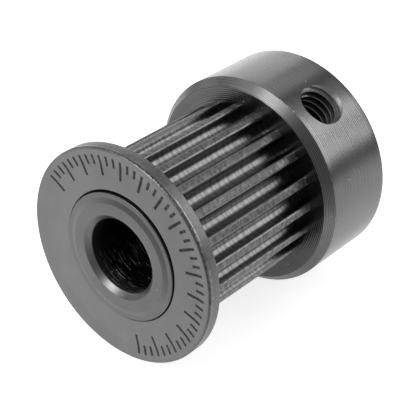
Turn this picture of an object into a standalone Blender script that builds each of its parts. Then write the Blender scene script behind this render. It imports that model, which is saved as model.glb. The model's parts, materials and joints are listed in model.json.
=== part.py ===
"""Timing belt pulley with a pressed flange and two set screws.

Metres, +Z up. The pulley turns about the Y axis, the pressed flange faces -Y and the boss ends at +Y.
The origin lies on the axis, halfway along the pulley.
"""
import math

import bmesh
import bpy
from mathutils import Matrix, Vector

MM = 0.001

# Overall
LENGTH = 28.5 * MM
FRONT_Y = -LENGTH / 2
REAR_Y = LENGTH / 2
COLLECTION_NAME = "timing_belt_pulley"

# Toothed rim: 20 grooves of the round 3 mm pitch profile
TEETH = 20
PITCH = 3.0 * MM
PITCH_LINE_OFFSET = 0.381 * MM
TIP_RADIUS = TEETH * PITCH / math.tau - PITCH_LINE_OFFSET
GROOVE_DEPTH = 1.28 * MM
GROOVE_RADIUS = 0.91 * MM
TIP_FILLET = 0.26 * MM
FIRST_GROOVE_ANGLE = math.radians(13.1)
RIM_START_Y = -12.40 * MM
BOSS_FACE_Y = 4.63 * MM
GROOVE_ARC_STEPS = 8
FILLET_STEPS = 3

# Boss
BOSS_RADIUS = 11.67 * MM
BOSS_CHAMFER_RADIAL = 0.80 * MM
BOSS_CHAMFER_AXIAL = 0.92 * MM
REAR_CHAMFER = 0.20 * MM

# Bore and hub nose
BORE_RADIUS = 4.0 * MM
BORE_CHAMFER = 0.55 * MM
NOSE_RADIUS = 6.84 * MM
NOSE_FACE_RADIUS = 5.80 * MM
NOSE_LIP_DROP = 0.45 * MM

# Pressed flange
FLANGE_RADIUS = 11.48 * MM
FLANGE_THICKNESS = 1.50 * MM
FLANGE_BORE_RADIUS = 7.00 * MM
FLANGE_DISH_RADIUS = 10.0 * MM
FLANGE_DISH = 0.18 * MM
FLANGE_SEAT_GAP = 0.03 * MM
FLANGE_BACK_Y = RIM_START_Y - FLANGE_SEAT_GAP
FLANGE_FACE_Y = FLANGE_BACK_Y - FLANGE_THICKNESS
FLANGE_EDGE_ROUND = 0.12 * MM
FLANGE_HOLE_ROUND = 0.30 * MM

# Tapped holes and set screws, M5
HOLE_ANGLES = (math.radians(56.0), math.radians(146.0))
HOLE_Y = 9.6 * MM
HOLE_RADIUS = 2.50 * MM
SCREW_RADIUS = 2.42 * MM
SCREW_LENGTH = 3.0 * MM
SCREW_POINT_CLEARANCE = 0.05 * MM
SCREW_CHAMFER = 0.35 * MM
CUP_RADIUS = 1.20 * MM
CUP_DEPTH = 0.50 * MM
SOCKET_ACROSS_FLATS = 2.5 * MM
SOCKET_DEPTH = 1.40 * MM

# Mesh fineness
TURN_STEPS = 60
SCREW_STEPS = 48
HOLE_STEPS = 48
MERGE_DISTANCE = 0.000001
SHARP_ANGLE = math.radians(30.0)
OVERSHOOT = 1.0 * MM

BODY_STEEL = ("body_steel", (0.110, 0.111, 0.113, 1.0), 0.38, 0.9)
FLANGE_STEEL = ("flange_steel", (0.165, 0.166, 0.168, 1.0), 0.50, 0.9)
SCREW_STEEL = ("screw_steel", (0.050, 0.050, 0.052, 1.0), 0.42, 0.9)


def clear_scene():
    for thing in list(bpy.data.objects):
        bpy.data.objects.remove(thing)


def make_collection(name, hidden):
    collection = bpy.data.collections.new(name)
    bpy.context.scene.collection.children.link(collection)
    collection.hide_render = hidden
    return collection


def make_material(name, colour, roughness, metallic):
    material = bpy.data.materials.new(name)
    material.use_nodes = True
    shader = material.node_tree.nodes["Principled BSDF"]
    shader.inputs["Base Color"].default_value = colour
    shader.inputs["Roughness"].default_value = roughness
    shader.inputs["Metallic"].default_value = metallic
    material.diffuse_color = colour
    material.roughness = roughness
    material.metallic = metallic
    return material


def add_object(name, mesh, collection):
    thing = bpy.data.objects.new(name, mesh)
    collection.objects.link(thing)
    return thing


def turned(name, profile, axis, steps, collection):
    """Turns a closed profile of (radius, height) points about the object's own axis."""
    mesh = bpy.data.meshes.new(name)
    if axis == "Y":
        points = [(radius, height, 0.0) for radius, height in profile]
    else:
        points = [(radius, 0.0, height) for radius, height in profile]
    count = len(points)
    edges = [(i, (i + 1) % count) for i in range(count)]
    mesh.from_pydata(points, edges, [])
    thing = add_object(name, mesh, collection)
    screw = thing.modifiers.new("Turn", "SCREW")
    screw.axis = axis
    screw.steps = steps
    screw.render_steps = steps
    screw.use_merge_vertices = True
    screw.merge_threshold = MERGE_DISTANCE
    screw.use_normal_calculate = True
    return thing


def apply_modifiers(thing):
    graph = bpy.context.evaluated_depsgraph_get()
    mesh = bpy.data.meshes.new_from_object(thing.evaluated_get(graph))
    thing.modifiers.clear()
    thing.data = mesh


def point_faces_outward(thing):
    shape = bmesh.new()
    shape.from_mesh(thing.data)
    bmesh.ops.recalc_face_normals(shape, faces=shape.faces)
    shape.to_mesh(thing.data)
    shape.free()


def subtract(thing, cutter):
    cut = thing.modifiers.new("Cut " + cutter.name, "BOOLEAN")
    cut.operation = "DIFFERENCE"
    cut.solver = "EXACT"
    cut.object = cutter
    apply_modifiers(thing)


def finish(thing, material):
    thing.data.materials.clear()
    thing.data.materials.append(material)
    thing.data.shade_smooth()
    thing.data.set_sharp_from_angle(angle=SHARP_ANGLE)


def arc(centre, radius, start, end, steps):
    """Points on an arc, both ends included, angles in radians."""
    points = []
    for i in range(steps + 1):
        angle = start + (end - start) * i / steps
        points.append((centre[0] + radius * math.cos(angle), centre[1] + radius * math.sin(angle)))
    return points


def groove_outline():
    """One tooth groove across the axis: sideways distance and distance from the axis."""
    root_radius = TIP_RADIUS - GROOVE_DEPTH
    bottom_centre = (0.0, root_radius + GROOVE_RADIUS)
    fillet_reach = TIP_RADIUS - TIP_FILLET
    fillet_side = GROOVE_RADIUS + TIP_FILLET
    fillet_height = math.sqrt(fillet_reach ** 2 - fillet_side ** 2)
    tilt = math.asin(fillet_side / fillet_reach)
    side = arc(bottom_centre, GROOVE_RADIUS, -math.pi / 2, 0.0, GROOVE_ARC_STEPS)
    side += arc((fillet_side, fillet_height), TIP_FILLET, math.pi, math.pi / 2 - tilt, FILLET_STEPS)
    top = TIP_RADIUS + OVERSHOOT
    side.append((top * math.sin(tilt), top * math.cos(tilt)))
    mirrored = [(-across, out) for across, out in reversed(side[1:])]
    return side + mirrored


def groove_cutters(collection):
    """All grooves as prisms that run along the axis, from before the rim to the boss face."""
    shape = bmesh.new()
    outline = groove_outline()
    start_y = RIM_START_Y - OVERSHOOT
    for tooth in range(TEETH):
        angle = FIRST_GROOVE_ANGLE + tooth * math.tau / TEETH
        outward = Vector((math.cos(angle), 0.0, math.sin(angle)))
        sideways = Vector((-math.sin(angle), 0.0, math.cos(angle)))
        corners = []
        for across, out in outline:
            corners.append(shape.verts.new(outward * out + sideways * across + Vector((0.0, start_y, 0.0))))
        face = shape.faces.new(corners)
        grown = bmesh.ops.extrude_face_region(shape, geom=[face])
        moved = [item for item in grown["geom"] if isinstance(item, bmesh.types.BMVert)]
        bmesh.ops.translate(shape, verts=moved, vec=(0.0, BOSS_FACE_Y - start_y, 0.0))
    bmesh.ops.recalc_face_normals(shape, faces=shape.faces)
    mesh = bpy.data.meshes.new("groove_cutter")
    shape.to_mesh(mesh)
    shape.free()
    cutter = add_object("groove_cutter", mesh, collection)
    cutter.display_type = "WIRE"
    return cutter


def outward_turn(angle):
    """Rotation that points an object's own +Z out from the pulley's axis at this angle."""
    return Matrix.Rotation(math.pi / 2 - angle, 4, "Y")


def hole_cutters(collection):
    """Both tapped holes, from inside the bore to outside the boss."""
    shape = bmesh.new()
    reach = BOSS_RADIUS + OVERSHOOT
    for angle in HOLE_ANGLES:
        placed = Matrix.Translation((0.0, HOLE_Y, 0.0)) @ outward_turn(angle)
        placed = placed @ Matrix.Translation((0.0, 0.0, reach / 2))
        bmesh.ops.create_cone(
            shape,
            cap_ends=True,
            segments=HOLE_STEPS,
            radius1=HOLE_RADIUS,
            radius2=HOLE_RADIUS,
            depth=reach,
            matrix=placed,
        )
    mesh = bpy.data.meshes.new("hole_cutter")
    shape.to_mesh(mesh)
    shape.free()
    cutter = add_object("hole_cutter", mesh, collection)
    cutter.display_type = "WIRE"
    return cutter


def make_pulley_body(parts, cutters):
    profile = [
        (BORE_RADIUS + BORE_CHAMFER, FRONT_Y),
        (NOSE_FACE_RADIUS, FRONT_Y),
        (NOSE_RADIUS, FRONT_Y + NOSE_LIP_DROP),
        (NOSE_RADIUS, RIM_START_Y),
        (TIP_RADIUS, RIM_START_Y),
        (TIP_RADIUS, BOSS_FACE_Y),
        (BOSS_RADIUS - BOSS_CHAMFER_RADIAL, BOSS_FACE_Y),
        (BOSS_RADIUS, BOSS_FACE_Y + BOSS_CHAMFER_AXIAL),
        (BOSS_RADIUS, REAR_Y - REAR_CHAMFER),
        (BOSS_RADIUS - REAR_CHAMFER, REAR_Y),
        (BORE_RADIUS + BORE_CHAMFER, REAR_Y),
        (BORE_RADIUS, REAR_Y - BORE_CHAMFER),
        (BORE_RADIUS, FRONT_Y + BORE_CHAMFER),
    ]
    body = turned("pulley_body", profile, "Y", TURN_STEPS, parts)
    apply_modifiers(body)
    point_faces_outward(body)
    subtract(body, groove_cutters(cutters))
    subtract(body, hole_cutters(cutters))
    finish(body, make_material(*BODY_STEEL))
    return body


def make_front_flange(parts):
    rim_y = FLANGE_FACE_Y - FLANGE_DISH
    edge = FLANGE_EDGE_ROUND
    hole_round = FLANGE_HOLE_ROUND
    profile = [
        (FLANGE_BORE_RADIUS, FLANGE_BACK_Y),
        (FLANGE_BORE_RADIUS, FLANGE_FACE_Y + hole_round),
        (FLANGE_BORE_RADIUS + hole_round, FLANGE_FACE_Y),
        (FLANGE_DISH_RADIUS, FLANGE_FACE_Y),
        (FLANGE_RADIUS - edge, rim_y),
        (FLANGE_RADIUS, rim_y + edge),
        (FLANGE_RADIUS, rim_y + FLANGE_THICKNESS),
        (FLANGE_DISH_RADIUS, FLANGE_BACK_Y),
    ]
    flange = turned("front_flange", profile, "Y", TURN_STEPS, parts)
    apply_modifiers(flange)
    point_faces_outward(flange)
    finish(flange, make_material(*FLANGE_STEEL))
    return flange


def make_set_screw(name, angle, material, parts, cutters):
    """A cup-point set screw whose own +Z points out of its hole, its origin at mid-length."""
    half = SCREW_LENGTH / 2
    profile = [
        (0.0, half),
        (SCREW_RADIUS - SCREW_CHAMFER, half),
        (SCREW_RADIUS, half - SCREW_CHAMFER),
        (SCREW_RADIUS, SCREW_CHAMFER - half),
        (CUP_RADIUS, -half),
        (0.0, CUP_DEPTH - half),
    ]
    screw = turned(name, profile, "Z", SCREW_STEPS, parts)
    apply_modifiers(screw)
    point_faces_outward(screw)

    shape = bmesh.new()
    corner_radius = SOCKET_ACROSS_FLATS / math.sqrt(3.0)
    middle = half - SOCKET_DEPTH / 2 + OVERSHOOT / 2
    bmesh.ops.create_cone(
        shape,
        cap_ends=True,
        segments=6,
        radius1=corner_radius,
        radius2=corner_radius,
        depth=SOCKET_DEPTH + OVERSHOOT,
        matrix=Matrix.Translation((0.0, 0.0, middle)),
    )
    mesh = bpy.data.meshes.new(name + "_socket_cutter")
    shape.to_mesh(mesh)
    shape.free()
    cutter = add_object(name + "_socket_cutter", mesh, cutters)
    cutter.display_type = "WIRE"
    subtract(screw, cutter)
    finish(screw, material)

    middle_radius = BORE_RADIUS + SCREW_POINT_CLEARANCE + half
    turn = outward_turn(angle)
    screw.location = turn @ Vector((0.0, 0.0, middle_radius)) + Vector((0.0, HOLE_Y, 0.0))
    screw.rotation_euler = turn.to_euler()
    return screw


def main():
    clear_scene()
    parts = make_collection(COLLECTION_NAME, hidden=False)
    cutters = make_collection("cutters", hidden=True)
    make_pulley_body(parts, cutters)
    make_front_flange(parts)
    screw_material = make_material(*SCREW_STEEL)
    for number, angle in enumerate(HOLE_ANGLES, start=1):
        make_set_screw("set_screw_" + str(number), angle, screw_material, parts, cutters)


main()
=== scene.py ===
"""Looks of the timing belt pulley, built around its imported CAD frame.

The pulley's axis is the frame's Y axis, the pressed flange faces -Y and the boss ends at +Y. Sizes are in
metres, and MM turns millimetres into them. Every turned piece is a loft of rings of points around that axis.
"""

import json
import math

import bmesh
import bpy
import numpy as np
from mathutils import Matrix, Vector


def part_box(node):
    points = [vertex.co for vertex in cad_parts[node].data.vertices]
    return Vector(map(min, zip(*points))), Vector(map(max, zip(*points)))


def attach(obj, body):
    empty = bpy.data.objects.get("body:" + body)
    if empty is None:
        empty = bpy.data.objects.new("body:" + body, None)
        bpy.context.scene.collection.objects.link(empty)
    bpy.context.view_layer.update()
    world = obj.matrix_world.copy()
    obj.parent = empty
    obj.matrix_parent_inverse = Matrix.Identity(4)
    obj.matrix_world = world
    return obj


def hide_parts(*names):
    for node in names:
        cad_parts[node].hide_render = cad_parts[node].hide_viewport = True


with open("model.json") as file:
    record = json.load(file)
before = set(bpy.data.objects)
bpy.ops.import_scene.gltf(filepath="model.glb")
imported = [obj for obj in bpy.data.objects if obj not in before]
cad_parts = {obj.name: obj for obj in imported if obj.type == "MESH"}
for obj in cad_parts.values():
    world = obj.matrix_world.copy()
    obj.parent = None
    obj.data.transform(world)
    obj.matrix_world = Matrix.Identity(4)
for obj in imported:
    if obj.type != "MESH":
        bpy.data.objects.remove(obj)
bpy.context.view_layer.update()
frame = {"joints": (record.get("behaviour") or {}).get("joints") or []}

MM = 0.001
PULLEY = "pulley"

body_low, body_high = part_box("pulley_body")
flange_low, flange_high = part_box("front_flange")
FRONT_Y = body_low.y
REAR_Y = body_high.y
BOSS_RADIUS = body_high.x
FLANGE_RADIUS = flange_high.x
FLANGE_RIM_Y = flange_low.y
FLANGE_BACK_Y = flange_high.y

# Mesh fineness
GROOVE_ARC_STEPS = 9
FILLET_STEPS = 5
CORNER_STEPS = 4
FLANGE_STEPS = 360
THREAD_COLUMNS = 48
RIM_RINGS = 13
LONGEST_STEP = 0.8 * MM
MERGE_DISTANCE = 0.00001 * MM
THREAD_MERGE_DISTANCE = 0.0001 * MM
SAME_HEIGHT = 0.000001 * MM
SHARP_ANGLE = math.radians(30)

# Rounding of turned corners, and of the finest ones
CORNER_ROUND = 0.06 * MM
SMALL_ROUND = 0.05 * MM
FINE_ROUND = 0.02 * MM

# Toothed rim. Each fillet's points are exposed to rubbing by the shares in FILLET_EXPOSURE
TEETH = 20
PITCH = 3.0 * MM
PITCH_LINE_OFFSET = 0.381 * MM
TIP_RADIUS = TEETH * PITCH / math.tau - PITCH_LINE_OFFSET
GROOVE_DEPTH = 1.28 * MM
GROOVE_RADIUS = 0.91 * MM
TIP_FILLET = 0.26 * MM
FLANK_ANGLE = math.radians(20)
FIRST_GROOVE_ANGLE = math.radians(13.1)
FILLET_EXPOSURE = (0.2, 0.7, 1.0, 1.0, 0.6, 0.2)
FLANGE_SEAT_GAP = 0.03 * MM
RIM_START_Y = FLANGE_BACK_Y + FLANGE_SEAT_GAP
BOSS_FACE_Y = 4.63 * MM

# Boss, bore and hub nose
BOSS_FEED = 0.25 * MM
BOSS_CHAMFER_RADIAL = 0.80 * MM
BOSS_CHAMFER_AXIAL = 0.92 * MM
REAR_CHAMFER = 0.20 * MM
BORE_RADIUS = 4.0 * MM
BORE_CHAMFER = 0.55 * MM
NOSE_RADIUS = 6.84 * MM
NOSE_FACE_RADIUS = 5.80 * MM
NOSE_LEDGE_RADIUS = 6.33 * MM
NOSE_LEDGE_DROP = 0.19 * MM
FACE_INNER_RADIUS = TIP_RADIUS + 0.1 * MM
FACE_OUTER_RADIUS = BOSS_RADIUS - BOSS_CHAMFER_RADIAL
BOSS_START_Y = BOSS_FACE_Y + BOSS_CHAMFER_AXIAL
FACE_MARKS = 7
FACE_MARK_DEPTH = 0.007 * MM
CHAMFER_MARKS = 7
CHAMFER_MARK_DEPTH = 0.012 * MM

# Pressed flange
FLANGE_THICKNESS = 1.50 * MM
FLANGE_FACE_Y = FLANGE_BACK_Y - FLANGE_THICKNESS
FLANGE_BORE_RADIUS = 6.87 * MM
FLANGE_HOLE_GAP = 0.24 * MM
FLANGE_HOLE_GAP_ANGLE = math.radians(64)
FLANGE_HOLE_ROUND = 0.12 * MM
FLANGE_DISH_RADIUS = 10.0 * MM
FLANGE_DISH_ROUND = 1.2 * MM
FLANGE_EDGE = 0.12 * MM
FLANGE_SEAM_DEPTH = 0.4 * MM

# Greys of the finishes, as the share of light that they send back
BODY_GREY = 0.110
NOSE_GREY = 0.120
FLANGE_GREY = 0.150
SCREW_GREY = 0.050
RUBBED_GREY = 0.34
# Share of its grey left on the boss's face beside the teeth, as painted shade
FACE_PAINTED_SHADE = 0.75

# Index ticks on the flange, in degrees and millimetres, with every third one long
FIRST_TICK = -78.0
TICK_STEP = 5.0
TICKS = 46
TICKS_PER_LONG = 3.0
TICK_WIDTH = 0.30
TICK_START = 8.60
TICK_SHORT_START = 9.70
TICK_END = 10.72
TICK_SOFT = 0.03

# M5 holes and set screws. The thread's outline is one pitch of (share of the pitch, share of the depth)
THREAD_OUTLINE = (
    (0.0, 0.0), (0.125, 0.0), (0.28125, 0.5), (0.4375, 1.0), (0.5625, 1.0), (0.71875, 0.5), (0.875, 0.0),
)
THREAD_PITCH = 0.8 * MM
THREAD_MAJOR = 2.50 * MM
THREAD_MINOR = 2.067 * MM
THREAD_CLEARANCE = 0.04 * MM
HOLE_MOUTH = 2.52 * MM
HOLE_MOUTH_SLOPE = 0.5
HOLE_OVERSHOOT = 0.8 * MM
HOLE_INNER_OVERSHOOT = 1.0 * MM
SCREW_POINT_CLEARANCE = 0.05 * MM
SCREW_CHAMFER = 0.45 * MM
SOCKET_FLATS = 2.5 * MM
SOCKET_DEPTH = 1.40 * MM
SOCKET_MOUTH_ROOM = 0.06 * MM
SOCKET_MOUTH_DEPTH = 0.12 * MM
DRILL_POINT_DEPTH = 0.15 * MM
DRILL_POINT_RADIUS = 0.35 * MM
CUP_RADIUS = 1.20 * MM
CUP_DEPTH = 0.40 * MM
CUP_FLOOR_RADIUS = 0.30 * MM

# A pale tent over a glowing paper floor. The floor fades to grey toward two compass points, each over its
# own span of distances from the pulley: toward the front, and toward the rear right
TENT_BRIGHTNESS = 0.35
FLOOR_REACH = 4.0
FLOOR_GLOW = 0.76
FLOOR_GREY = 0.70
FLOOR_FRONT_GREY = 0.52
FLOOR_FADE_AZIMUTH = 40
FLOOR_FADE = (18.0 * MM, 34.0 * MM)
FLOOR_REAR_AZIMUTH = 131
FLOOR_REAR_FADE = (90.0 * MM, 260.0 * MM)
FLOOR_REAR_SHARE = 0.35

# Each softbox: name, azimuth and elevation in degrees, brightness
SOFTBOX_SIZE = 0.17
SOFTBOX_DISTANCE = 0.50
SOFTBOXES = [
    ("key_softbox", -12, 44, 14.9),
    ("key_top_softbox", -20, 63, 6.0),
    ("left_softbox", -60, 44, 2.6),
    ("left_low_softbox", -82, 19, 2.4),
    ("rear_right_softbox", 134, 20, 3.9),
    ("rear_right_middle_softbox", 146, 37, 4.2),
    ("rear_right_high_softbox", 163, 49, 0.8),
    ("rear_left_low_softbox", -133, 5, 1.3),
    ("rear_left_softbox", -140, 25, 1.65),
    ("rear_left_high_softbox", -156, 44, 1.2),
]

# Camera: azimuth and elevation in degrees, lens in millimetres
CAMERA_AZIMUTH = 40.06
CAMERA_ELEVATION = 31.05
CAMERA_DISTANCE = 138.04 * MM
CAMERA_AIM = Vector((0.12, -0.55, -0.81)) * MM
CAMERA_LENS = 114.23
CAMERA_CLIP_START = 5 * MM
CAMERA_CLIP_END = 20.0


# ---------------------------------------------------------------- meshes

def arc(centre, radius, start, end, steps):
    """Points on an arc, both ends included, angles in radians."""
    angles = np.linspace(start, end, steps + 1)
    return [(centre[0] + radius * math.cos(a), centre[1] + radius * math.sin(a)) for a in angles]


def rounded(corners):
    """Turns corners (radius, y, rounding, exposure) into a path of (radius, y, edge).

    edge is a corner's exposure to rubbing, from 0 to 1, on its rounding, and 0 between corners.
    """
    path = []
    last = len(corners) - 1
    for i, (radius, y, rounding, exposure) in enumerate(corners):
        here = Vector((radius, y))
        if rounding == 0 or i in (0, last):
            path.append((radius, y, 0.0))
            continue
        before = (Vector(corners[i - 1][:2]) - here).normalized()
        after = (Vector(corners[i + 1][:2]) - here).normalized()
        half_angle = before.angle(after) / 2
        reach = rounding / math.tan(half_angle)
        start = here + before * reach
        end = here + after * reach
        for step in range(CORNER_STEPS + 1):
            t = step / CORNER_STEPS
            point = start * (1 - t) ** 2 + here * 2 * t * (1 - t) + end * t ** 2
            path.append((point.x, point.y, exposure * (1.0 - abs(2 * t - 1))))
    dense = [path[0]]
    for point in path[1:]:
        previous = dense[-1]
        gap = math.dist(previous[:2], point[:2])
        pieces = max(1, math.ceil(gap / LONGEST_STEP))
        for step in range(1, pieces + 1):
            t = step / pieces
            dense.append(tuple(a + (b - a) * t for a, b in zip(previous, point)))
    return dense


def feed_marks(start, end, count, depth):
    """Corners of a turned surface from start to end, cut by this many shallow flat-bottomed feed marks."""
    start = Vector(start)
    end = Vector(end)
    step = (end - start) / (3 * count)
    inward = Vector((-step.y, step.x)).normalized() * depth
    corners = []
    for i in range(1, 3 * count):
        point = start + step * i
        if i % 3:
            point += inward
        corners.append((point.x, point.y, 0, 0.0))
    return corners


def tooth_outline():
    """The rim's outline all round: (radius, angle, edge) for each point, groove by groove.

    In each groove, x is the distance to its side and y the distance from the pulley's axis.
    """
    root = TIP_RADIUS - GROOVE_DEPTH
    bottom = root + GROOVE_RADIUS
    reach = TIP_RADIUS - TIP_FILLET
    touch = GROOVE_RADIUS + TIP_FILLET
    turn = math.acos((reach ** 2 + bottom ** 2 - touch ** 2) / (2 * reach * bottom))
    fillet_centre = (reach * math.sin(turn), reach * math.cos(turn))
    floor_arc = arc((0.0, bottom), GROOVE_RADIUS, -math.pi / 2, -FLANK_ANGLE, GROOVE_ARC_STEPS)
    half = [(x, y, 0.0) for x, y in floor_arc]
    fillet = arc(fillet_centre, TIP_FILLET, math.pi - FLANK_ANGLE, math.pi / 2 - turn, FILLET_STEPS)
    half += [(x, y, edge) for (x, y), edge in zip(fillet, FILLET_EXPOSURE)]
    half_pitch = math.pi / TEETH
    land = (TIP_RADIUS * math.sin(half_pitch), TIP_RADIUS * math.cos(half_pitch), 0.0)
    quarter = (turn + half_pitch) / 2
    half.append((TIP_RADIUS * math.sin(quarter), TIP_RADIUS * math.cos(quarter), 0.05))
    one = [(-x, y, edge) for x, y, edge in reversed(half[1:])] + half + [land]
    points = []
    for tooth in range(TEETH):
        middle = FIRST_GROOVE_ANGLE + tooth * math.tau / TEETH
        for x, y, edge in one:
            points.append((math.hypot(x, y), middle + math.atan2(x, y), edge))
    return points


def loft(name, rings, edges):
    """A closed mesh through rings of (x, y, z) points, the last ring joined to the first.

    edges holds how exposed each point is to rubbing, from 0 to 1, and becomes the attribute "edge".
    """
    count = len(rings[0])
    lower = np.arange(len(rings) * count).reshape(len(rings), count)
    upper = np.roll(lower, -1, axis=0)
    quads = np.stack([lower, np.roll(lower, -1, 1), np.roll(upper, -1, 1), upper], -1).reshape(-1, 4)
    mesh = bpy.data.meshes.new(name)
    mesh.from_pydata(np.concatenate(rings).tolist(), [], quads.tolist())
    attribute = mesh.attributes.new("edge", "FLOAT", "POINT")
    attribute.data.foreach_set("value", np.concatenate(edges).astype(np.float32))
    return mesh


def ring(radii, angles, y):
    """Points around the pulley's axis."""
    radii = np.broadcast_to(radii, angles.shape)
    return np.stack([radii * np.cos(angles), np.broadcast_to(y, angles.shape), radii * np.sin(angles)], -1)


def merge_points(shape, distance):
    bmesh.ops.remove_doubles(shape, verts=shape.verts, dist=distance)
    bmesh.ops.dissolve_degenerate(shape, edges=shape.edges, dist=distance)


def shade(mesh):
    """Shades the mesh smooth between its sharp edges."""
    mesh.shade_smooth()
    mesh.set_sharp_from_angle(angle=SHARP_ANGLE)


def tidy_mesh(mesh):
    """Merges doubled points, points the faces outward and shades the mesh."""
    shape = bmesh.new()
    shape.from_mesh(mesh)
    merge_points(shape, MERGE_DISTANCE)
    bmesh.ops.recalc_face_normals(shape, faces=shape.faces)
    shape.to_mesh(mesh)
    shape.free()
    shade(mesh)


def add_object(name, data):
    thing = bpy.data.objects.new(name, data)
    bpy.context.scene.collection.objects.link(thing)
    return thing


def declare(piece, body, node):
    """Makes a piece move with its body and stand for its CAD node."""
    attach(piece, body)
    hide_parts(node)


# ---------------------------------------------------------------- threads

def thread_shape(low, high, minor, major, limit):
    """A bmesh with a helical thread along +Z from low to high.

    Every thread is in phase with one that starts at the bore, so a screw's thread fits its hole's.
    limit(height, radius) trims each point's radius.
    """
    first = math.floor((low - BORE_RADIUS) / THREAD_PITCH) - 1
    last = math.ceil((high - BORE_RADIUS) / THREAD_PITCH)
    rows = [(turn + share, depth) for turn in range(first, last + 1) for share, depth in THREAD_OUTLINE]
    shape = bmesh.new()
    grid = []
    for turns, depth in rows:
        line = []
        for column in range(THREAD_COLUMNS + 1):
            angle = math.tau * column / THREAD_COLUMNS
            height = BORE_RADIUS + THREAD_PITCH * (turns + column / THREAD_COLUMNS)
            height = min(max(height, low), high)
            radius = limit(height, minor + (major - minor) * depth)
            line.append(shape.verts.new((radius * math.cos(angle), radius * math.sin(angle), height)))
        grid.append(line)
    for below, above in zip(grid, grid[1:]):
        for column in range(THREAD_COLUMNS):
            shape.faces.new((below[column], below[column + 1], above[column + 1], above[column]))
    return shape


def add_discs(shape, discs):
    """Adds rings of (height, function from angle to radius) to the shape, and closes the last one.

    The first ring lies on the shape's end circle.
    """
    previous = None
    for height, radius_at in discs:
        current = []
        for column in range(THREAD_COLUMNS):
            angle = math.tau * column / THREAD_COLUMNS
            radius = radius_at(angle)
            current.append(shape.verts.new((radius * math.cos(angle), radius * math.sin(angle), height)))
        if previous:
            for column in range(THREAD_COLUMNS):
                ahead = (column + 1) % THREAD_COLUMNS
                shape.faces.new((previous[column], previous[ahead], current[ahead], current[column]))
        previous = current
    shape.faces.new(previous)


def shape_mesh(shape, name):
    """Turns a bmesh into a mesh with its points merged and its faces outward."""
    merge_points(shape, THREAD_MERGE_DISTANCE)
    bmesh.ops.recalc_face_normals(shape, faces=shape.faces)
    mesh = bpy.data.meshes.new(name)
    shape.to_mesh(mesh)
    shape.free()
    return mesh


def circle(radius):
    return lambda angle: radius


def hexagon(flats):
    """Radius of a hexagon with this size across flats, at an angle from one of its corners."""
    sixth = math.pi / 3
    return lambda angle: flats / 2 / math.cos((angle % sixth) - sixth / 2)


def hole_frame(joint, node):
    """Matrix from a hole's own space to the pulley's.

    The hole's own +Z points out along it, and its height 0 is on the pulley's axis.
    """
    low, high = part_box(node)
    axis = Vector(joint["axis"]).normalized()
    turn = math.atan2(axis.x, axis.z)
    return Matrix.Translation((0.0, (low.y + high.y) / 2, 0.0)) @ Matrix.Rotation(turn, 4, "Y")


def tap_cutter(name, placed):
    """The shape that a drilled, countersunk and tapped hole takes out of the boss."""
    low = BORE_RADIUS - HOLE_INNER_OVERSHOOT
    high = BOSS_RADIUS + HOLE_OVERSHOOT

    def limit(height, radius):
        if height <= low:
            return THREAD_MINOR
        return max(radius, HOLE_MOUTH + (height - BOSS_RADIUS) * HOLE_MOUTH_SLOPE)

    shape = thread_shape(low, high, THREAD_MINOR, THREAD_MAJOR, limit)
    add_end_cap(shape, low)
    add_end_cap(shape, high)
    mesh = shape_mesh(shape, name)
    mesh.transform(placed)
    return add_object(name, mesh)


def add_end_cap(shape, height):
    """Closes an open end of a threaded shape with one face in its end plane."""
    merge_points(shape, THREAD_MERGE_DISTANCE)
    open_edges = [edge for edge in shape.edges if len(edge.link_faces) == 1]
    rim = [edge for edge in open_edges if all(abs(v.co.z - height) < SAME_HEIGHT for v in edge.verts)]
    bmesh.ops.contextual_create(shape, geom=rim)


# ---------------------------------------------------------------- pieces

def body_mesh():
    """The body before its holes are tapped: from inside the bore round the nose, the rim and the boss."""
    outline = tooth_outline()
    radii = np.array([p[0] for p in outline])
    angles = np.array([p[1] for p in outline])
    tooth_edges = np.array([p[2] for p in outline])
    front = rounded([
        (BORE_RADIUS, 0.0, 0, 0),
        (BORE_RADIUS, FRONT_Y + BORE_CHAMFER, CORNER_ROUND, 0.3),
        (BORE_RADIUS + BORE_CHAMFER, FRONT_Y, CORNER_ROUND, 0.3),
        (NOSE_FACE_RADIUS, FRONT_Y, FINE_ROUND, 0.0),
        (NOSE_LEDGE_RADIUS, FRONT_Y + NOSE_LEDGE_DROP, FINE_ROUND, 0.0),
        (NOSE_RADIUS, FRONT_Y + NOSE_LEDGE_DROP, 0.08 * MM, 0.2),
        (NOSE_RADIUS, RIM_START_Y, 0, 0),
    ])
    face_start = (FACE_INNER_RADIUS, BOSS_FACE_Y)
    face_end = (FACE_OUTER_RADIUS, BOSS_FACE_Y)
    chamfer_end = (BOSS_RADIUS, BOSS_START_Y)
    rear = rounded([
        (*face_start, 0, 0),
        *feed_marks(face_start, face_end, FACE_MARKS, FACE_MARK_DEPTH),
        (*face_end, 0.03 * MM, 0.5),
        *feed_marks(face_end, chamfer_end, CHAMFER_MARKS, CHAMFER_MARK_DEPTH),
        (*chamfer_end, CORNER_ROUND, 1.0),
        (BOSS_RADIUS, REAR_Y - REAR_CHAMFER, CORNER_ROUND, 1.0),
        (BOSS_RADIUS - REAR_CHAMFER, REAR_Y, SMALL_ROUND, 1.0),
        (BORE_RADIUS + BORE_CHAMFER, REAR_Y, SMALL_ROUND, 0.3),
        (BORE_RADIUS, REAR_Y - BORE_CHAMFER, CORNER_ROUND, 0.3),
        (BORE_RADIUS, 0.0, 0, 0),
    ])
    rings = []
    edges = []
    for radius, y, edge in front:
        rings.append(ring(radius, angles, y))
        edges.append(np.full(len(angles), edge))
    for y in np.linspace(RIM_START_Y, BOSS_FACE_Y, RIM_RINGS):
        rings.append(ring(radii, angles, y))
        edges.append(tooth_edges)
    for radius, y, edge in rear[:-1]:
        rings.append(ring(radius, angles, y))
        edges.append(np.full(len(angles), edge))
    return loft("pulley_body_visual", rings, edges)


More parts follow.
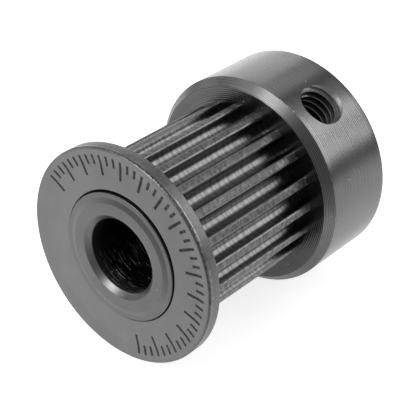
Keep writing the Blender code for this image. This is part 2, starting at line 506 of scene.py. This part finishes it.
def build_body(material, hole_material):
    """The body with its two tapped holes, whose insides have a material of their own."""
    mesh = body_mesh()
    mesh.materials.append(material)
    tidy_mesh(mesh)
    piece = add_object("pulley_body_visual", mesh)
    for joint in frame["joints"]:
        node = joint["child"]
        cutter = tap_cutter(node + "_tap", hole_frame(joint, node))
        cutter.data.materials.append(hole_material)
        cut = piece.modifiers.new("Tap", "BOOLEAN")
        cut.operation = "DIFFERENCE"
        cut.solver = "EXACT"
        cut.material_mode = "TRANSFER"
        cut.object = cutter
        graph = bpy.context.evaluated_depsgraph_get()
        cut_mesh = bpy.data.meshes.new_from_object(piece.evaluated_get(graph))
        piece.modifiers.clear()
        piece.data = cut_mesh
        bpy.data.objects.remove(cutter)
    shade(piece.data)
    declare(piece, PULLEY, "pulley_body")


def build_flange(material):
    """The flange. Its hole is wider on one side, which leaves a gap beside the nose there."""
    angles = np.arange(FLANGE_STEPS) * math.tau / FLANGE_STEPS
    seam = (FLANGE_BORE_RADIUS, FLANGE_BACK_Y - FLANGE_SEAM_DEPTH, 0, 0)
    path = rounded([
        seam,
        (FLANGE_BORE_RADIUS, FLANGE_FACE_Y + FLANGE_HOLE_ROUND, 0.04 * MM, 0),
        (FLANGE_BORE_RADIUS + FLANGE_HOLE_ROUND, FLANGE_FACE_Y, CORNER_ROUND, 0),
        (FLANGE_DISH_RADIUS, FLANGE_FACE_Y, FLANGE_DISH_ROUND, 0),
        (FLANGE_RADIUS - FLANGE_EDGE, FLANGE_RIM_Y, SMALL_ROUND, 0.8),
        (FLANGE_RADIUS, FLANGE_RIM_Y + FLANGE_EDGE, SMALL_ROUND, 0.8),
        (FLANGE_RADIUS, FLANGE_RIM_Y + FLANGE_THICKNESS, CORNER_ROUND, 0.8),
        (FLANGE_DISH_RADIUS, FLANGE_BACK_Y, FLANGE_DISH_ROUND, 0),
        (FLANGE_BORE_RADIUS, FLANGE_BACK_Y, SMALL_ROUND, 0),
        seam,
    ])[:-1]
    offset = FLANGE_HOLE_GAP * np.maximum(0.0, np.cos(angles - FLANGE_HOLE_GAP_ANGLE)) ** 2
    rings = []
    for radius, y, _ in path:
        share = max(0.0, (FLANGE_DISH_RADIUS - radius) / (FLANGE_DISH_RADIUS - FLANGE_BORE_RADIUS))
        rings.append(ring(radius + offset * share, angles, y))
    edges = [np.full(FLANGE_STEPS, edge) for _, _, edge in path]
    mesh = loft("front_flange_visual", rings, edges)
    mesh.materials.append(material)
    tidy_mesh(mesh)
    declare(add_object("front_flange_visual", mesh), PULLEY, "front_flange")


def build_screw(joint, material):
    """A threaded set screw with a hexagon socket in its outer end and a cup point in its inner end."""
    node = joint["child"]
    low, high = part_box(node)
    middle = (low + high) / 2
    placed = hole_frame(joint, node)
    base = BORE_RADIUS + SCREW_POINT_CLEARANCE
    length = 2 * (middle.xz.length - base)
    top = base + length
    minor = THREAD_MINOR - THREAD_CLEARANCE
    major = THREAD_MAJOR - THREAD_CLEARANCE
    end_radius = major - SCREW_CHAMFER

    def limit(height, radius):
        return min(radius, end_radius + (height - base), end_radius + (top - height))

    shape = thread_shape(base, top, minor, major, limit)
    mouth = SOCKET_FLATS / math.sqrt(3.0) + SOCKET_MOUTH_ROOM
    hexed = hexagon(SOCKET_FLATS)
    socket_floor = top - SOCKET_DEPTH
    add_discs(shape, [
        (top, circle(end_radius)),
        (top, circle(mouth)),
        (top - SOCKET_MOUTH_DEPTH, hexed),
        (socket_floor, hexed),
        (socket_floor - DRILL_POINT_DEPTH, circle(DRILL_POINT_RADIUS)),
    ])
    add_discs(shape, [
        (base, circle(end_radius)),
        (base, circle(CUP_RADIUS)),
        (base + CUP_DEPTH, circle(CUP_FLOOR_RADIUS)),
    ])
    mesh = shape_mesh(shape, node + "_visual")
    mesh.transform(placed)
    mesh.materials.append(material)
    tidy_mesh(mesh)
    declare(add_object(node + "_visual", mesh), node, node)


# ---------------------------------------------------------------- materials

class Graph:
    """Builds one material's nodes. Lengths are in millimetres, because the coordinates are scaled to them."""

    def __init__(self, name):
        self.material = bpy.data.materials.new(name)
        self.material.use_nodes = True
        self.tree = self.material.node_tree
        self.shader = self.tree.nodes["Principled BSDF"]
        self.shader.inputs["Metallic"].default_value = 1.0
        place = self.add("ShaderNodeTexCoord").outputs["Object"]
        self.place = self.vector("SCALE", place, Scale=1.0 / MM)
        split = self.add("ShaderNodeSeparateXYZ", {"Vector": self.place}).outputs
        x, self.y, self.z = split["X"], split["Y"], split["Z"]
        squares = self.math("ADD", self.math("POWER", x, 2.0), self.math("POWER", self.z, 2.0))
        self.radius = self.math("SQRT", squares)
        self.angle = self.math("DEGREES", self.math("ARCTAN2", self.z, x))
        self.heights = []

    def add(self, kind, inputs=None, **settings):
        node = self.tree.nodes.new(kind)
        for key, value in settings.items():
            setattr(node, key, value)
        for key, value in (inputs or {}).items():
            self.feed(node.inputs[key], value)
        return node

    def feed(self, socket, value):
        if isinstance(value, bpy.types.NodeSocket):
            self.tree.links.new(value, socket)
        else:
            socket.default_value = value

    def math(self, operation, *values, clamp=False):
        node = self.add("ShaderNodeMath", operation=operation, use_clamp=clamp)
        for socket, value in zip(node.inputs, values):
            self.feed(socket, value)
        return node.outputs[0]

    def vector(self, operation, *values, **named):
        node = self.add("ShaderNodeVectorMath", named, operation=operation)
        for socket, value in zip(node.inputs, values):
            self.feed(socket, value)
        return node.outputs["Value" if operation == "LENGTH" else "Vector"]

    def ramp(self, value, low, high, at_low=0.0, at_high=1.0):
        """A smooth step from at_low to at_high while value goes from low to high."""
        inputs = {"Value": value, "From Min": low, "From Max": high, "To Min": at_low, "To Max": at_high}
        return self.add("ShaderNodeMapRange", inputs, interpolation_type="SMOOTHSTEP").outputs["Result"]

    def band(self, value, low, high, soft):
        """1 between low and high, falling to 0 over the width soft outside them."""
        rise = self.ramp(value, low - soft, low)
        fall = self.ramp(value, high, high + soft, 1.0, 0.0)
        return self.math("MULTIPLY", rise, fall)

    def noise(self, size, detail=2.0, stretch=None):
        """Noise from 0 to 1, whose blobs are about this big, in millimetres."""
        place = self.vector("MULTIPLY", self.place, stretch) if stretch else self.place
        inputs = {"Vector": place, "Scale": 1.0 / size, "Detail": detail, "Roughness": 0.55}
        return self.add("ShaderNodeTexNoise", inputs).outputs["Fac"]

    def noise_line(self, value, size, detail=2.0):
        """Noise from 0 to 1 along a value, changing over about this size."""
        inputs = {"W": value, "Scale": 1.0 / size, "Detail": detail, "Roughness": 0.6}
        return self.add("ShaderNodeTexNoise", inputs, noise_dimensions="1D").outputs["Fac"]

    def wave(self, value, period):
        return self.math("SINE", self.math("MULTIPLY", value, math.tau / period))

    def mix(self, share, low, high):
        """low where share is 0, high where it is 1."""
        node = self.add("ShaderNodeMix", data_type="FLOAT")
        for socket, value in zip(node.inputs[:1] + node.inputs[2:4], (share, low, high)):
            self.feed(socket, value)
        return node.outputs[0]

    def vary(self, value, pattern, amount):
        """value, made up to amount (a share of it) lighter or darker by a pattern from 0 to 1."""
        return self.math("MULTIPLY", value, self.math("MULTIPLY_ADD", pattern, 2.0 * amount, 1.0 - amount))

    def specks(self, spacing, size, share):
        """Small round spots in a share of the cells of an uneven pattern."""
        inputs = {"Vector": self.place, "Scale": 1.0 / spacing, "Randomness": 1.0}
        cells = self.add("ShaderNodeTexVoronoi", inputs)
        chosen = self.add("ShaderNodeSeparateXYZ", {"Vector": cells.outputs["Color"]}).outputs["X"]
        near = self.ramp(cells.outputs["Distance"], 0.5 * size / spacing, size / spacing, 1.0, 0.0)
        return self.math("MULTIPLY", near, self.math("LESS_THAN", chosen, share))

    def lift(self, height, millimetres):
        """Adds relief: a pattern whose unit is this many millimetres high."""
        self.heights.append(self.math("MULTIPLY", height, millimetres))

    def finish(self, colour, roughness):
        """Joins the relief, colour and roughness to the shader."""
        total = self.heights[0]
        for height in self.heights[1:]:
            total = self.math("ADD", total, height)
        bump = self.add("ShaderNodeBump", {"Height": total, "Strength": 1.0, "Distance": MM})
        self.tree.links.new(bump.outputs["Normal"], self.shader.inputs["Normal"])
        self.feed(self.shader.inputs["Base Color"], colour)
        self.feed(self.shader.inputs["Roughness"], roughness)
        return self.material


def edge_wear(graph, blotch):
    """Where the finish is rubbed off the edges, in broken lines: 0 to 1."""
    edge = graph.add("ShaderNodeAttribute", attribute_name="edge").outputs["Fac"]
    patchy = graph.math("MULTIPLY_ADD", blotch, 1.8, -0.9)
    return graph.ramp(graph.math("ADD", edge, patchy), 0.62, 1.0)


def body_material():
    """Blackened, turned steel: feed lines round the boss, chatter in the hobbed grooves, rubbed edges, with
    painted shade, light and glints by the boss and in the bore.
    """
    graph = Graph("body_steel")
    along = graph.math("ADD", graph.radius, graph.y)
    rim_start = RIM_START_Y / MM
    boss_face = BOSS_FACE_Y / MM
    boss_start = BOSS_START_Y / MM
    tip = TIP_RADIUS / MM
    face_inner = FACE_INNER_RADIUS / MM
    face_outer = FACE_OUTER_RADIUS / MM
    on_boss = graph.ramp(graph.y, boss_start - 0.02, boss_start + 0.02)
    on_rim = graph.math("MULTIPLY", graph.band(graph.y, rim_start, boss_face - 0.06, 0.03),
                        graph.ramp(graph.radius, tip + 0.05, tip + 0.15, 1.0, 0.0))
    in_groove = graph.math("MULTIPLY", on_rim, graph.ramp(graph.radius, tip - 0.45, tip - 0.15, 1.0, 0.0))
    in_bore = graph.ramp(graph.radius, BORE_RADIUS / MM + 0.02, BORE_RADIUS / MM + 0.08, 1.0, 0.0)
    turned = graph.math("SUBTRACT", 1.0, graph.math("MAXIMUM", on_rim, in_bore), clamp=True)

    on_nose = graph.ramp(graph.y, rim_start - 0.4, rim_start - 0.2, 1.0, 0.0)
    mottle = graph.noise(2.6, 3.0)
    grain = graph.noise(0.13, 2.0)
    blotch = graph.noise(0.50, 4.0)
    lines = graph.noise_line(along, 0.22, 3.0)
    chamfer_share = graph.math("DIVIDE", graph.math("SUBTRACT", graph.y, boss_face), BOSS_CHAMFER_AXIAL / MM)
    past_inner = graph.math("SUBTRACT", graph.radius, face_inner)
    face_share = graph.math("DIVIDE", past_inner, face_outer - face_inner)
    boss_wave = graph.wave(graph.y, BOSS_FEED / MM)
    chamfer_wave = graph.wave(chamfer_share, 1.0 / CHAMFER_MARKS)
    face_wave = graph.wave(face_share, 1.0 / FACE_MARKS)
    on_chamfer = graph.band(graph.y, boss_face + 0.03, boss_start - 0.03, 0.02)
    on_ring_face = graph.math("MULTIPLY", graph.band(graph.y, boss_face - 0.05, boss_face + 0.03, 0.02),
                              graph.ramp(graph.radius, tip + 0.05, tip + 0.10))
    patches = graph.ramp(graph.noise(2.4, 2.0), 0.30, 0.62, 0.45, 1.0)
    marks = graph.math("MULTIPLY", graph.math("MULTIPLY", boss_wave, on_boss), 0.45)
    marks = graph.math("MULTIPLY_ADD", chamfer_wave, on_chamfer, marks)
    marks = graph.math("MULTIPLY_ADD", graph.math("MULTIPLY", face_wave, on_ring_face), 0.7, marks)
    marks = graph.math("MULTIPLY", marks, patches)
    strength = graph.math("MULTIPLY", turned, graph.mix(on_nose, 1.0, 0.15))

    colour = graph.vary(graph.mix(on_nose, BODY_GREY, NOSE_GREY), mottle, 0.16)
    colour = graph.vary(colour, grain, 0.14)
    line_shade = graph.math("MULTIPLY_ADD", marks, 0.80, lines)
    colour = graph.mix(strength, colour, graph.vary(colour, line_shade, 0.28))

    # Grooves: faint uneven chatter along the floor, each groove with its own start, and painted shade that
    # darkens them toward the boss
    teeth_per_degree = TEETH / 360.0
    first_tooth = 0.5 - math.degrees(FIRST_GROOVE_ANGLE) * teeth_per_degree
    tooth = graph.math("FLOOR", graph.math("MULTIPLY_ADD", graph.angle, teeth_per_degree, first_tooth))
    start = graph.add("ShaderNodeTexWhiteNoise", {"W": tooth}, noise_dimensions="1D").outputs["Value"]
    place = graph.math("MULTIPLY_ADD", start, 40.0, graph.y)
    beads = graph.noise_line(place, 0.70, 1.0)
    wander = graph.noise_line(place, 2.6, 1.0)
    chatter = graph.wave(graph.math("MULTIPLY_ADD", wander, 1.8, place), 0.70)
    bead = graph.math("MULTIPLY_ADD", chatter, 0.20, graph.mix(0.5, beads, graph.noise(0.5, 3.0)))
    colour = graph.mix(in_groove, colour, graph.vary(graph.math("MULTIPLY", colour, 1.10), bead, 0.46))
    painted_groove_shade = graph.math("MULTIPLY", in_groove, graph.ramp(graph.y, boss_face - 6.5, boss_face - 1.0))
    colour = graph.mix(painted_groove_shade, colour, graph.math("MULTIPLY", colour, 0.58))

    # Lands: short rubs and scratches across them, made lighter all along and lighter still toward the boss,
    # where the extra lightness is painted light
    on_land = graph.math("MULTIPLY", on_rim, graph.ramp(graph.radius, tip - 0.05, tip - 0.01))
    rubs = graph.noise(0.30, 4.0, stretch=(0.5, 1.6, 0.5))
    block_wave = graph.wave(graph.math("MULTIPLY_ADD", wander, 2.4, place), 0.82)
    blocks = graph.math("MULTIPLY_ADD", block_wave, 0.10, rubs)
    land_tone_and_painted_light = graph.ramp(graph.y, boss_face - 5.0, boss_face - 1.0, 1.20, 1.50)
    colour = graph.mix(on_land, colour, graph.vary(graph.math("MULTIPLY", colour, land_tone_and_painted_light), blocks, 1.0))

    # The boss's face beside the teeth is a little darker: painted shade from the teeth
    painted_face_shade = graph.math("MULTIPLY", graph.band(graph.y, boss_face - 0.05, boss_face + 0.03, 0.02),
                         graph.ramp(graph.radius, tip + 1.70, tip + 1.66))
    colour = graph.mix(painted_face_shade, colour, graph.math("MULTIPLY", colour, FACE_PAINTED_SHADE))

    # Rubbed edges, with painted glints as brighter spots on the lands' ends and the grooves' ends beside the
    # boss
    wear = edge_wear(graph, blotch)
    wear = graph.math("MULTIPLY", wear, graph.mix(on_rim, 1.0, 0.35))
    colour = graph.mix(wear, colour, RUBBED_GREY)
    painted_land_end_glint = graph.math("MULTIPLY", on_land, graph.band(graph.y, boss_face - 0.14, boss_face - 0.04, 0.03))
    painted_land_end_glint = graph.math("MULTIPLY", painted_land_end_glint, graph.ramp(blotch, 0.48, 0.58))
    colour = graph.mix(painted_land_end_glint, colour, 0.45)
    painted_groove_end_glint = graph.band(graph.y, boss_face - 0.34, boss_face - 0.28, 0.04)
    painted_groove_end_glint = graph.math("MULTIPLY", in_groove, painted_groove_end_glint)
    painted_groove_end_glint = graph.math("MULTIPLY", painted_groove_end_glint, graph.ramp(blotch, 0.45, 0.60))
    colour = graph.mix(painted_groove_end_glint, colour, 0.30)

    # Bore: painted darker than the body as shade inside it, with long tool marks round it painted as bright
    # glints, strongest on its lower side
    helix = graph.math("MULTIPLY_ADD", graph.angle, 0.0016, graph.y)
    tool_marks_and_glints = graph.noise_line(helix, 0.16, 4.0)
    streak = graph.noise(0.7, 3.0, stretch=(0.6, 3.0, 0.6))
    painted_glint_low_side = graph.ramp(graph.z, -2.6, 0.4, 1.0, 0.25)
    tool_marks_and_glints = graph.math("MULTIPLY", graph.ramp(tool_marks_and_glints, 0.50, 0.68), graph.ramp(streak, 0.42, 0.62))
    tool_marks_and_glints = graph.math("MULTIPLY", tool_marks_and_glints, painted_glint_low_side)
    colour = graph.mix(in_bore, colour, graph.mix(tool_marks_and_glints, 0.075, 0.26))
    dust = graph.specks(1.25, 0.075, 0.30)
    colour = graph.mix(dust, colour, 0.60)

    roughness = graph.vary(0.25, grain, 0.20)
    roughness = graph.mix(on_chamfer, roughness, 0.31)
    roughness = graph.mix(on_nose, roughness, 0.38)
    roughness = graph.mix(in_bore, roughness, 0.45)
    roughness = graph.mix(on_rim, roughness, graph.vary(0.30, blotch, 0.2))
    on_crown = graph.math("MULTIPLY", on_rim, graph.ramp(graph.radius, tip - 0.34, tip - 0.06))
    roughness = graph.mix(on_crown, roughness, graph.vary(0.52, blotch, 0.2))
    roughness = graph.mix(wear, roughness, 0.24)
    roughness = graph.mix(dust, roughness, 0.9)

    graph.lift(graph.math("MULTIPLY", marks, strength), 0.0035)
    graph.lift(graph.math("MULTIPLY", lines, strength), 0.006)
    graph.lift(graph.math("MULTIPLY", bead, in_groove), 0.007)
    graph.lift(graph.math("MULTIPLY", rubs, on_land), 0.012)
    graph.lift(graph.math("MULTIPLY", tool_marks_and_glints, in_bore), 0.018)
    graph.lift(grain, 0.0026)
    graph.lift(wear, -0.006)
    return graph.finish(colour, roughness)


def thread_material():
    """The tapped holes: flanks painted dark as shade inside the holes, crests and the mouth brighter, partly
    rubbed and partly painted highlight.
    """
    graph = Graph("thread_steel")
    distances = []
    for joint in frame["joints"]:
        low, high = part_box(joint["child"])
        centre = (0.0, (low.y + high.y) / 2 / MM, 0.0)
        axis = Vector(joint["axis"]).normalized()
        offset = graph.vector("SUBTRACT", graph.place, centre)
        distances.append(graph.vector("LENGTH", graph.vector("CROSS_PRODUCT", offset, tuple(axis))))
    distance = graph.math("MINIMUM", *distances)
    minor = THREAD_MINOR / MM
    grain = graph.noise(0.10, 3.0)
    blotch = graph.noise(0.45, 3.0)
    crest = graph.ramp(distance, minor + 0.02, minor + 0.10, 1.0, 0.0)
    mouth = graph.ramp(graph.radius, BOSS_RADIUS / MM - 1.1, BOSS_RADIUS / MM - 0.5)
    # Dark flanks: painted shade inside the holes
    colour = graph.vary(0.055, grain, 0.35)
    # Brighter crests and mouth: partly rubbed, partly painted highlight
    colour = graph.mix(graph.math("MAXIMUM", crest, mouth), colour, graph.vary(0.26, blotch, 0.5))
    roughness = graph.mix(crest, graph.vary(0.42, grain, 0.2), 0.28)
    graph.lift(grain, 0.004)
    graph.lift(graph.noise_line(graph.angle, 3.0, 2.0), 0.002)
    return graph.finish(colour, roughness)


def flange_material():
    """Pressed, blackened sheet: matte faces with index ticks, a sheared rim."""
    graph = Graph("flange_steel")
    grain = graph.noise(0.09, 3.0)
    fine = graph.noise(0.30, 3.0)
    mottle = graph.noise(3.2, 3.0)
    rubbed = graph.noise(1.1, 4.0, stretch=(1.0, 1.0, 0.35))
    colour = graph.vary(FLANGE_GREY, mottle, 0.10)
    colour = graph.vary(colour, grain, 0.20)
    colour = graph.vary(colour, rubbed, 0.08)

    # Index ticks: radial strokes at even angles on the front face
    ragged = graph.math("MULTIPLY_ADD", fine, 0.10, -0.05)
    turned = graph.math("SUBTRACT", graph.angle, FIRST_TICK)
    step = graph.math("DIVIDE", turned, TICK_STEP)
    number = graph.math("ROUND", step)
    arc_offset = graph.math("MULTIPLY", graph.math("SUBTRACT", step, number), math.radians(TICK_STEP))
    aside = graph.math("ABSOLUTE", graph.math("MULTIPLY", arc_offset, graph.radius))
    aside = graph.math("ADD", aside, ragged)
    stroke = graph.ramp(aside, TICK_WIDTH / 2 - TICK_SOFT, TICK_WIDTH / 2 + TICK_SOFT, 1.0, 0.0)
    place_in_group = graph.math("ABSOLUTE", graph.math("WRAP", number, TICKS_PER_LONG, 0.0))
    inner = graph.mix(graph.math("LESS_THAN", place_in_group, 0.5), TICK_SHORT_START, TICK_START)
    inside = graph.ramp(graph.math("SUBTRACT", graph.radius, inner), -TICK_SOFT, TICK_SOFT)
    outside = graph.ramp(graph.radius, TICK_END - TICK_SOFT, TICK_END + TICK_SOFT, 1.0, 0.0)
    reach = graph.math("MULTIPLY", inside, outside)
    after_first = graph.math("GREATER_THAN", number, -0.5)
    before_last = graph.math("LESS_THAN", number, TICKS - 0.5)
    zone = graph.math("MULTIPLY", after_first, before_last)
    face = graph.math("LESS_THAN", graph.y, (FLANGE_FACE_Y + FLANGE_THICKNESS / 2) / MM)
    mark = graph.math("MULTIPLY", graph.math("MULTIPLY", stroke, reach), graph.math("MULTIPLY", zone, face))
    worn = graph.ramp(fine, 0.30, 0.55, 0.75, 1.0)
    mark = graph.math("MULTIPLY", mark, worn)
    colour = graph.mix(mark, colour, graph.vary(0.026, grain, 0.3))

    # Sheared rim: a speckled dark line behind the front edge, then a burnished line, then the plain band
    depth = graph.math("SUBTRACT", graph.y, FLANGE_RIM_Y / MM)
    on_rim = graph.ramp(graph.radius, FLANGE_RADIUS / MM - 0.30, FLANGE_RADIUS / MM - 0.10)
    speckle = graph.noise(0.28, 4.0)
    edge_depth = graph.math("ADD", depth, graph.math("MULTIPLY_ADD", graph.noise(0.9, 3.0), 0.12, -0.06))
    torn = graph.math("MULTIPLY", on_rim, graph.band(edge_depth, 0.10, 0.26, 0.05))
    torn = graph.math("MULTIPLY", torn, graph.ramp(speckle, 0.40, 0.55))
    burnished = graph.math("MULTIPLY", on_rim, graph.band(edge_depth, 0.38, 0.46, 0.05))
    colour = graph.mix(on_rim, colour, graph.vary(graph.math("MULTIPLY", colour, 0.80), speckle, 0.45))
    colour = graph.mix(torn, colour, 0.045)
    colour = graph.mix(graph.math("MULTIPLY", burnished, graph.ramp(speckle, 0.40, 0.65)), colour, 0.19)
    wear = edge_wear(graph, graph.noise(0.8, 4.0))
    colour = graph.mix(graph.math("MULTIPLY", wear, 0.45), colour, RUBBED_GREY)
    dust = graph.specks(2.2, 0.07, 0.25)
    colour = graph.mix(dust, colour, 0.45)

    roughness = graph.vary(0.40, grain, 0.15)
    roughness = graph.mix(mark, roughness, 0.55)
    roughness = graph.mix(burnished, roughness, 0.25)
    graph.lift(grain, 0.0030)
    graph.lift(fine, 0.0040)
    graph.lift(graph.math("MULTIPLY", torn, fine), 0.03)
    graph.lift(mark, -0.006)
    return graph.finish(colour, roughness)


def screw_material():
    """Black oxide screws: dull and dark, with lighter rubbed patches."""
    graph = Graph("screw_steel")
    grain = graph.noise(0.09, 3.0)
    mottle = graph.noise(0.9, 3.0)
    blotch = graph.noise(0.35, 4.0)
    colour = graph.vary(SCREW_GREY, mottle, 0.25)
    colour = graph.vary(colour, grain, 0.25)
    rubbed = graph.ramp(blotch, 0.60, 0.72)
    colour = graph.mix(graph.math("MULTIPLY", rubbed, 0.5), colour, 0.16)
    roughness = graph.vary(0.36, grain, 0.25)
    graph.lift(grain, 0.004)
    graph.lift(mottle, 0.004)
    return graph.finish(colour, roughness)


# ---------------------------------------------------------------- studio

def direction(azimuth, elevation):
    """Unit vector to a compass point seen from the pulley: azimuth 0 is -Y and grows toward +X."""
    a = math.radians(azimuth)
    e = math.radians(elevation)
    return Vector((math.sin(a) * math.cos(e), -math.cos(a) * math.cos(e), math.sin(e)))


def softbox(name, azimuth, elevation, brightness):
    """A square area light that faces the pulley."""
    light = bpy.data.lights.new(name, "AREA")
    light.shape = "SQUARE"
    light.size = SOFTBOX_SIZE
    light.energy = brightness * math.pi * SOFTBOX_SIZE ** 2
    lamp = add_object(name, light)
    toward = direction(azimuth, elevation)
    lamp.location = toward * SOFTBOX_DISTANCE
    lamp.rotation_euler = toward.to_track_quat("Z", "Y").to_euler()


def floor_fade(tree, place, azimuth, span, near, far):
    """A value that goes from near to far over this span of distances toward a compass point."""
    forward = tree.nodes.new("ShaderNodeVectorMath")
    forward.operation = "DOT_PRODUCT"
    forward.inputs[1].default_value = direction(azimuth, 0)
    tree.links.new(place, forward.inputs[0])
    fade = tree.nodes.new("ShaderNodeMapRange")
    fade.interpolation_type = "SMOOTHSTEP"
    fade.inputs["From Min"].default_value, fade.inputs["From Max"].default_value = span
    fade.inputs["To Min"].default_value = near
    fade.inputs["To Max"].default_value = far
    tree.links.new(forward.outputs["Value"], fade.inputs["Value"])
    return fade.outputs["Result"]


def floor_material():
    """Pale paper that glows around the pulley and fades to grey toward the front and the rear right."""
    paper = bpy.data.materials.new("floor_paper")
    paper.use_nodes = True
    shader = paper.node_tree.nodes["Principled BSDF"]
    shader.inputs["Roughness"].default_value = 1.0
    shader.inputs["Specular IOR Level"].default_value = 0.0
    shader.inputs["Emission Color"].default_value = (1.0, 1.0, 1.0, 1.0)
    tree = paper.node_tree
    place = tree.nodes.new("ShaderNodeTexCoord").outputs["Object"]
    rear_share = floor_fade(tree, place, FLOOR_REAR_AZIMUTH, FLOOR_REAR_FADE, 1.0, FLOOR_REAR_SHARE)
    for socket, near, far in (
        ("Base Color", FLOOR_GREY, FLOOR_FRONT_GREY),
        ("Emission Strength", FLOOR_GLOW, 0.0),
    ):
        front = floor_fade(tree, place, FLOOR_FADE_AZIMUTH, FLOOR_FADE, near, far)
        both = tree.nodes.new("ShaderNodeMath")
        both.operation = "MULTIPLY"
        tree.links.new(front, both.inputs[0])
        tree.links.new(rear_share, both.inputs[1])
        tree.links.new(both.outputs[0], shader.inputs[socket])
    return paper


def build_studio():
    scene = bpy.context.scene
    scene.view_settings.view_transform = "Standard"
    shape = bmesh.new()
    level = Matrix.Translation((0.0, 0.0, -BOSS_RADIUS))
    bmesh.ops.create_grid(shape, x_segments=1, y_segments=1, size=FLOOR_REACH, matrix=level)
    mesh = bpy.data.meshes.new("floor")
    shape.to_mesh(mesh)
    shape.free()
    mesh.materials.append(floor_material())
    add_object("floor", mesh)

    world = bpy.data.worlds.new("studio")
    scene.world = world
    world.use_nodes = True
    background = world.node_tree.nodes["Background"]
    background.inputs["Color"].default_value = (1.0, 1.0, 1.0, 1.0)
    background.inputs["Strength"].default_value = TENT_BRIGHTNESS
    for name, azimuth, elevation, brightness in SOFTBOXES:
        softbox(name, azimuth, elevation, brightness)


def build_camera():
    camera = add_object("camera", bpy.data.cameras.new("camera"))
    bpy.context.scene.camera = camera
    camera.data.lens = CAMERA_LENS
    camera.data.clip_start = CAMERA_CLIP_START
    camera.data.clip_end = CAMERA_CLIP_END
    back = direction(CAMERA_AZIMUTH, CAMERA_ELEVATION)
    camera.location = CAMERA_AIM + back * CAMERA_DISTANCE
    camera.rotation_euler = (-back).to_track_quat("-Z", "Y").to_euler()


build_body(body_material(), thread_material())
build_flange(flange_material())
screw_steel = screw_material()
for screw_joint in frame["joints"]:
    build_screw(screw_joint, screw_steel)
build_studio()
build_camera()
